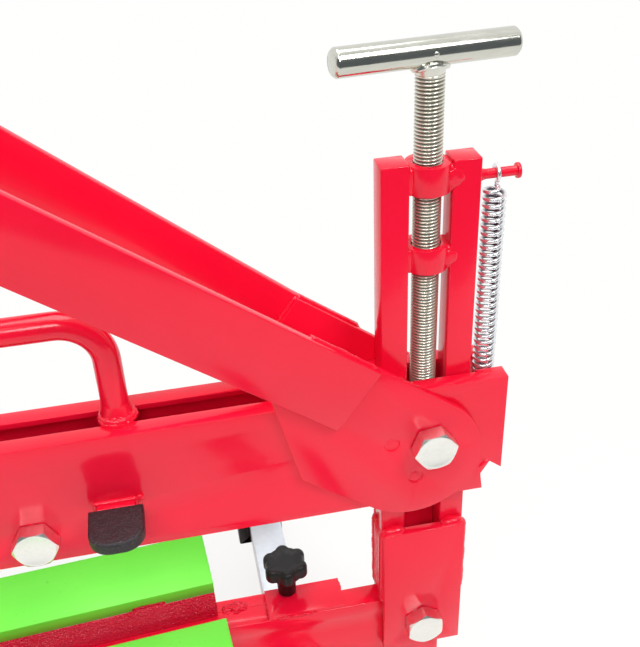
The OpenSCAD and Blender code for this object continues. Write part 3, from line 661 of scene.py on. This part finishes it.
def carry_handle(paint):
    """Bent round bar on top of the upper beam."""
    low, high = corners("carry_handle")
    r, bend = 10, 32
    leg, top = high.x - r, high.z - r
    feet = (low.z - 0.5, low.z + 10, low.z + 25)
    path = [(-leg, 0, z) for z in feet]
    path += [(-leg + bend - bend * math.cos(a), 0, top - bend + bend * math.sin(a)) for a in quarter(14)]
    path += [(-leg + bend + (2 * leg - 2 * bend) * i / 12, 0, top) for i in range(1, 12)]
    path += [(leg - bend + bend * math.sin(a), 0, top - bend + bend * math.cos(a)) for a in quarter(14)]
    path += [(leg, 0, z) for z in reversed(feet)]
    mould = Mould()
    mould.sweep(path, r, 36, up=(0, 1, 0))
    cast("carry_handle_bar", mould, paint, "beam", ("carry_handle",), 50)


def lever_stop_pad(paint):
    """Rubber pad with a rounded nose that catches the lever bar."""
    low, high = corners("stop_pad")
    x, half, r = (low.x + high.x) / 2, (high.x - low.x) / 2, 16
    nose, inner = low.y + r, half - r
    upper, lower = 2.6, 1.4

    def ring(inset, z):
        """Outline of the pad at a height, drawn in by an inset."""
        size, bend, rear = half - inset, max(0.3, r - inset), high.y - inset * 0.6
        made = [(x + size, rear, z)]
        made += [(x + size, nose + (rear - nose) * (1 - i / 6), z) for i in range(1, 6)]
        made += [(x + inner + bend * math.cos(a), nose - bend * math.sin(a), z) for a in quarter(12)]
        made += [(x - inner - bend * math.sin(a), nose - bend * math.cos(a), z) for a in quarter(12)]
        made += [(x - size, nose + (rear - nose) * i / 6, z) for i in range(1, 6)]
        made += [(x - size, rear, z)]
        return made

    rings = [ring(upper * 3, low.z)]
    rings += [ring(lower * (1 - math.sin(a)), low.z + lower * (1 - math.cos(a))) for a in quarter(5)]
    rings += [ring(upper * (1 - math.cos(a)), high.z - upper * (1 - math.sin(a))) for a in quarter(5)]
    rings += [ring(upper * 2.2, high.z), ring(upper * 4, high.z)]
    mould = Mould()
    mould.loft(rings)
    cast("lever_stop_pad", mould, paint, "beam", ("stop_pad",), 60)


def star_knob(paint):
    """Six-lobed clamping knob with rounded lobes and a long boss that hides its stud."""
    low, high = corners("stop_knob")
    x, y = (low.x + high.x) / 2, (low.y + high.y) / 2
    boss, under, top = low.z, low.z + 6, high.z
    lobe, lobe_out, hub, boss_reach, boss_end = 6.5, 13.5, 16.8, 14.2, low.z - 18.4

    def lobed(angle, inset):
        """Reach of six round lobes about a round hub, drawn in by an inset."""
        away = (angle % (math.pi / 3)) - math.pi / 6
        room = (lobe - inset) ** 2 - (lobe_out * math.sin(away)) ** 2
        if inset < lobe and room > 0:
            return max(hub - inset, lobe_out * math.cos(away) + math.sqrt(room))
        return hub - inset

    rings = []
    for inset, z in ((11, boss_end), (7.2, boss_end), (6.4, boss_end + 0.8), (5.4, boss + 0.6),
                     (4.9, boss + 2), (4.9, under - 0.4), (4.4, under), (2.0, under + 0.2),
                     (0.9, under + 0.7), (0.3, under + 1.6), (0, under + 3), (0, top - 4),
                     (0.4, top - 2.4), (1.3, top - 1.1), (2.6, top - 0.3), (4.0, top),
                     (5.0, top - 0.2), (6.6, top - 1), (11, top - 1)):
        ring = []
        for angle in turns(120):
            reach = lobed(angle, inset) if boss + 2.5 < z else boss_reach - inset
            ring.append((x + reach * math.cos(angle), y + reach * math.sin(angle), z))
        rings.append(ring)
    mould = Mould()
    mould.loft(rings)
    cast("star_knob", mould, paint, "knob", ("stop_knob",), 45)


def ground_blade(name, paint, back, tip, place):
    """Blade bar with a roughly ground edge."""
    way = 1 if tip > back else -1
    reach, half, bevel, count = 167, 6, 13, 130
    rings = []
    for i in range(count + 1):
        x = reach * (2 * i / count - 1)
        end = 0.6 if i in (0, count) else 0
        chip = (0.5 * noise.noise(Vector((x * 0.11, 3.1, 0)))
                + 0.45 * noise.noise(Vector((x * 0.41, 9.2, 0))))
        fold = (0.45 * noise.noise(Vector((x * 0.3, 0, 7.7)))
                + 0.35 * noise.noise(Vector((x * 0.8, 0, 2.1))))
        face = [(half - end, back),
                (half - end, tip - way * (bevel + 3)),
                (half - end, tip - way * (bevel + 0.8 + fold)),
                (half - 0.5, tip - way * (bevel - 0.7 + fold)),
                (3.1 + fold * 0.4, tip - way * 6.6),
                (0.9, tip - way * (1.5 + 0.4 * chip))]
        ring = [place(x, -y, z) for y, z in face]
        ring += [place(x, 0, tip - way * (0.5 + 0.5 * chip))]
        ring += [place(x, y, z) for y, z in reversed(face)]
        rings.append(ring)
    mould = Mould()
    mould.loft(rings)
    cast(name + "_ground", mould, paint, body_of[name], (name,), 30)


def grip_sleeve(paint):
    """Ribbed rubber sleeve on the lever's grip."""
    length, ribs = 118, 15
    collar = [(17.05, 0), (19.5, 0), (20.7, 0.6), (21, 1.8), (21, 5), (20.2, 6)]
    rib = ((19.3, -3.2), (20.3, -2.0), (20.6, 0), (20.3, 2.0), (19.3, 3.2))
    profile = list(collar)
    for i in range(ribs):
        middle = 7 + (length - 14) * (i + 0.5) / ribs
        profile += [(radius, middle + away) for radius, away in rib]
    profile += [(radius, length - away) for radius, away in reversed(collar)]
    mould = Mould()
    mould.turned(profile, on_lever(GRIP_ALONG, GRIP_ACROSS, -length / 2), (0, 1, 0), 40)
    cast("grip_sleeve_ribbed", mould, paint, "lever", ("grip_sleeve",), 40)


def base_welds(paint, grainy_paint):
    """Welds of the frame, its posts and bushes, and spattered ones at the ledge and the clamp plate."""
    mould = Mould()
    plate_top = corners("right_foot_plates")[1].z
    foot, plate_edge, sheet_edge, bush_edge = LOWER_TOP + 1, 33.9, 33.2, 14.0
    pin_root, pin_z, ledge_end = 379.6, 510, 276.6
    for s in (-1, 1):
        post = s * POST_X
        for k in (-1, 1):
            for bar in (post - POST_BAR, post + POST_BAR):
                y, z = k * 12.2, plate_top - 0.6
                mould.bead([(bar - 10, y, z), (bar + 10, y, z)], 5.8, wild=0.3)
            for side in (-1, 1):
                x, y = post + side * plate_edge, k * 11.2
                mould.bead([(x, y, foot), (x, y, plate_top + 1)], 4.4, wild=0.35)
            # Nut bush above, guide bush below
            for low, high, out, face, large in ((505, 523, 16, 9.7, 6.4), (446.5, 463, 14, 10.3, 5.6)):
                for x in (post - bush_edge, post + bush_edge):
                    mould.bead([(x, k * 7.9, low - 1), (x, k * 7.9, high + 1)], 2.4, wild=0.25)
                mould.blob((post + out, k * face, (low + high) / 2), large, (0, k, 0), 0.2, 0.3)
            for middle, half, y, size in (
                    (s * FOOT_X, 20, 10.3, 2.8), (s * BEARER_X, 14, 10.3, 2.6),
                    (s * BEARER_X, 10.4, 49, 2.2), (s * BEARER_X, 10.4, 71, 2.2)):
                mould.bead([(middle - half, k * y, BEARER_WELD_Z),
                            (middle + half, k * y, BEARER_WELD_Z)], size)
        root = [(6.3, 0), (5.6, 0.7), (4.7, 2.4), (3.9, 4.8), (3.4, 7.5)]
        mould.turned(root, (s * pin_root, 0, pin_z), (s, 0, 0), 28)
        for side in (-1, 1):
            x = post + side * sheet_edge
            for y, short in ((-6.5, 1), (-2, 5), (2, 5), (6.5, 1)):
                mould.bead([(x, y, foot), (x, y, plate_top - short)], 4.0, wild=0.35)
        x, z = s * ledge_end, LOWER_TOP - 1
        mould.bead([(x, 10.5, z), (x, 21.5, z)], 2.0)
    cast("frame_welds", mould, paint, "base", (), 60)

    mould = Mould()
    left, front = 210.3, -9.2  # edges of the clamp plate
    mould.bead([(left, -8.6, LOWER_TOP + 0.6), (left, 8, LOWER_TOP + 0.6)], 1.7, wild=0.5)
    mould.bead([(217, front, LOWER_TOP + 0.3), (252, front, LOWER_TOP + 0.3)], 1.7, wild=0.6)
    for s in (-1, 1):
        for x, y, size, normal in ((176, 10.5, 5.4, (0, -0.2, 1)), (182.5, 10.5, 6.6, (0, -0.2, 1)),
                                   (189, 11.5, 5.0, (0, 0, 1))):
            mould.blob((s * x, y, LOWER_TOP - 0.2), size, normal, 0.5, 0.6)
    cast("ledge_end_welds", mould, grainy_paint, "base", (), 60)


def table_welds(paint):
    """Welds between the lower blade, the lugs and the plates."""
    mould = Mould()
    half, z = 14.5, LOWER_TOP + 3.6
    for x, k in ((-BEARER_X, -1), (-10, -1), (-BEARER_X, 1), (BEARER_X, 1)):
        for y, size in ((k * 6.4, 1.4), (k * 20.6, 1.3)):
            mould.bead([on_table(x - half, y, z), on_table(x + half, y, z)], size)
    cast("table_welds", mould, paint, "table", (), 60)


def beam_welds(paint):
    """Welds of the carry handle, the upper blade, the end notches and the pad's tab."""
    mould = Mould()
    for s in (-1, 1):
        x = s * HANDLE_X
        for radius, lift, size in ((9.6, 4.4, 2.6), (10.6, 2.2, 3.4), (12.2, 0.4, 2.8)):
            ring = [(x + radius * math.cos(a), radius * math.sin(a), BEAM_TOP + lift) for a in turns(36)]
            mould.bead(ring, size, 1.3, 3.6, True, (0, 0, 1))
        cone = [(14.2, 0), (13.2, 2.4), (11.4, 6.5), (10.1, 14)]
        mould.turned(cone, (x, 0, BEAM_TOP - 0.2), (0, 0, 1), 32)
        mould.bead([(-162, s * 7.2, BEAM_Z - 0.4), (162, s * 7.2, BEAM_Z - 0.4)], 2.0, 1.8)
        for k in (-1, 1):
            notch = [(s * 386.2, k * 22.8, 268.6), (s * 394.6, k * 22.8, 276)]
            mould.bead(notch, 2.3, wild=0.15)
    low, high = corners("stop_tab")
    root = high.y - 0.4
    left, right, bottom, top = low.x - 0.6, high.x + 0.6, low.z - 0.5, high.z + 0.6
    mould.bead([(left, root, bottom), (left, root, top), (right, root, top), (right, root, bottom)], 1.9)
    mould.blob((high.x + 4, root - 0.3, high.z + 0.5), 3.2, (0, -1, 0), 0.6)
    cast("beam_welds", mould, paint, "beam", (), 60)


def lever_welds(paint):
    """Welds of the lever bars on their cam plates, plug welds of the cams and welds of the grip tube."""
    mould = Mould()
    for k in (-1, 1):
        face, top, inside = k * (CAM_OUT + 0.6), k * (CAM_OUT + 0.2), k * (CAM_OUT - 0.9)
        # The bar's end, its lower and upper edge, and the cam plate's end under it
        mould.bead([on_lever(77.6, -19, face), on_lever(77.6, 35.4, face)], 2.3)
        mould.bead([on_lever(78, -19.8, face), on_lever(136, -19.8, face)], 2.0)
        mould.bead([on_lever(80, 35.9, top), on_lever(137, 35.9, top)], 1.7)
        mould.bead([on_lever(137.4, -19, inside), on_lever(137.4, 35.4, inside)], 2.0)
        for x, z in ((POST_X - 31.66, PIVOT_Z + 3.89), (POST_X - 12.7, PIVOT_Z - 31.5)):
            mould.blob((x, k * (CAM_OUT - 1.7), z), 6.1, (0, k, 0), 0.2, 0.5)
        ring = [on_lever(GRIP_ALONG + 17.6 * math.cos(a), GRIP_ACROSS + 17.6 * math.sin(a), k * 68.6)
                for a in turns(40)]
        mould.bead(ring, 2.2, 1.3, 3.4, True, (0, 1, 0))
    cast("lever_welds", mould, paint, "lever", (), 60)


# ---------------------------------------------------------------- studio


def pale_floor():
    """Plain floor that keeps the shadow near the machine and is white further out."""
    near, far, side = -1.2, 9, 9
    mesh = bpy.data.meshes.new("floor")
    mesh.from_pydata([(-side, near, 0), (side, near, 0), (side, far, 0), (-side, far, 0)], [], [(0, 1, 2, 3)])
    floor = bpy.data.objects.new("floor", mesh)
    bpy.context.scene.collection.objects.link(floor)
    made, tree, shader, place = finish("white_floor")
    base = colour_mix(tree, grain(tree, place, 1.5, 3.0), (0.90, 0.90, 0.87, 1), (0.93, 0.93, 0.91, 1))
    join(tree, shader, Base_Color=base, Roughness=0.7, Specular_IOR_Level=0.1)
    seen, mirrored, through = ray_kinds(tree)
    glow = node(tree, "ShaderNodeEmission", None, {"Color": (1, 1, 0.99, 1), "Strength": 1.0})
    away = ramp(tree, from_uprights(tree, place, 0), 0.35, 1.0)
    share = (seen + mirrored + through) * (away * 0.2 + 0.8)
    mixed = node(tree, "ShaderNodeMixShader", None, {0: share, 1: Shade(tree, shader.outputs[0]), 2: glow})
    join(tree, tree.nodes["Material Output"], Surface=mixed)
    mesh.materials.append(made)


def room():
    """White background, and for the light a grey room, dim on the camera's side with a pale strip above."""
    world = bpy.data.worlds.new("room")
    bpy.context.scene.world = world
    world.use_nodes = True
    tree = world.node_tree
    front, level = parts_of(tree, node(tree, "ShaderNodeTexCoord", out=0), 1, 2)
    near_side = 1 - ramp(tree, front, -0.45, -0.05)
    above = ramp(tree, level, 0.70, 0.74)
    strip = near_side * above * (1 - ramp(tree, level, 0.84, 0.88))
    seen, mirrored, through = ray_kinds(tree)
    colour = colour_mix(tree, strip, (0.50, 0.50, 0.48, 1), (1, 1, 0.98, 1))
    colour = colour_mix(tree, near_side * (1 - above), colour, (0.13, 0.145, 0.155, 1))
    colour = colour_mix(tree, seen + (mirrored + through) * (1 - near_side), colour, (1, 1, 1, 1))
    join(tree, tree.nodes["Background"], Color=colour, Strength=1.0)


def lamps():
    """Soft lamps: name, place, aim, width and power."""
    for name, place, aim, width, power in (
            ("softbox_left", (-1.0, -1.3, 2.4), (0.1, 0, 0.3), 0.9, 14),
            ("softbox_right", (1.4, -1.4, 2.3), (0.2, 0, 0.35), 0.8, 27),
            ("softbox_top", (0.3, 0.35, 2.6), (0.1, 0, 0.2), 1.4, 29),
            ("small_front_lamp", (-0.05, -1.4, 1.45), (0.2, 0, 0.3), 0.42, 8)):
        light = bpy.data.lights.new(name, "AREA")
        light.shape = "SQUARE"
        light.size = width
        light.energy = power
        lamp = bpy.data.objects.new(name, light)
        lamp.location = place
        lamp.rotation_euler = (Vector(aim) - Vector(place)).to_track_quat("-Z", "Y").to_euler()
        bpy.context.scene.collection.objects.link(lamp)


photo_camera()
pale_floor()
room()
lamps()
bpy.context.scene.view_settings.view_transform = "Standard"

red = signal_red_paint("signal_red_paint", 0.0, 0.10, 0.0004)
weld_red = signal_red_paint("weld_red_paint", 0.4, 0.25, 0.0004)
# Rough red, darkened by painted shade, for the blades, the plate lugs and the table's welds
rough_shaded_red = signal_red_paint("rough_shaded_red_paint", 3.0, 0.85, 0.0008, 0.05, 0.75)
spatter_red = signal_red_paint("spatter_red_paint", 3.0, 0.9, 0.0009, 0.02)
green = bright_green_paint()
bolt_zinc = zinc("bolt_zinc", (0.98, 0.975, 0.93, 1), (0.80, 0.80, 0.75, 1), 0.20, (420, 30, 420), 0.6)
bar_zinc = zinc("bar_zinc", (0.68, 0.68, 0.61, 1), (0.58, 0.58, 0.52, 1), 0.03, (30, 500, 500))
screw_zinc = spindle_zinc()
weld_zinc = zinc("weld_zinc", (0.80, 0.79, 0.72, 1), (0.60, 0.59, 0.53, 1), 0.12, (300, 300, 60), 0.6)
wire_zinc = coil_zinc()
tube_zinc = galvanised_tube()
rubber = black_rubber()
plastic = black_plastic()

for side in ("right", "left"):
    threaded_spindle(side, screw_zinc)
    cross_bar(side, bar_zinc, weld_zinc)
    pull_spring(side, wire_zinc)
bolts(bolt_zinc)
carry_handle(red)
lever_stop_pad(rubber)
star_knob(plastic)
ground_blade("lower_blade", rough_shaded_red, LOWER_TOP + 0.3, LOWER_TOP + 24.5, on_table)
ground_blade("upper_blade", rough_shaded_red, BEAM_Z + 44, BEAM_Z - 16, on_beam)
grip_sleeve(rubber)
base_welds(weld_red, spatter_red)
table_welds(rough_shaded_red)
beam_welds(weld_red)
lever_welds(weld_red)

# The other pieces are copies of their solids with broken edges
slot_paint = {"red_paint": red, "green_paint": green, "zinc_steel": bolt_zinc,
              "black_rubber": rubber, "black_plastic": plastic}
own_paint = {"stop_arm": tube_zinc, "fence": tube_zinc, "plate_lugs": rough_shaded_red}
edge_width = {
    "upper_beam": 1.3, "lower_beam": 0.7, "ledge": 0.25, "clamp_plate": 0.8,
    "front_plate": 0.9, "rear_plate": 0.9, "front_bar": 0.8, "rear_bar": 0.8,
    "front_cam": 0.7, "rear_cam": 0.7, "grip_tube": 0.8, "foot_pads": 1.0,
    "stop_arm": 0.7, "arm_plug": 1.6, "stop_block": 1.5, "fence": 0.8, "fence_cap": 1.4,
    "nut_bushes": 0.6, "guide_bushes": 0.6, "spring_pins": 0.5, "spring_anchors": 0.4,
    "blade_spacers": 0.4, "drive_pins": 0.4, "knob_stud": 0.4, "table_pin": 0.4}
for name, part in frame["nodes"].items():
    if not part.hide_render:
        paint = own_paint.get(name, slot_paint[slot_of[name]])
        depth = SLIDER_DEPTH if name.endswith("_slider") else 1.0
        eased(name, edge_width.get(name, EDGE_WIDTH), paint, depth)
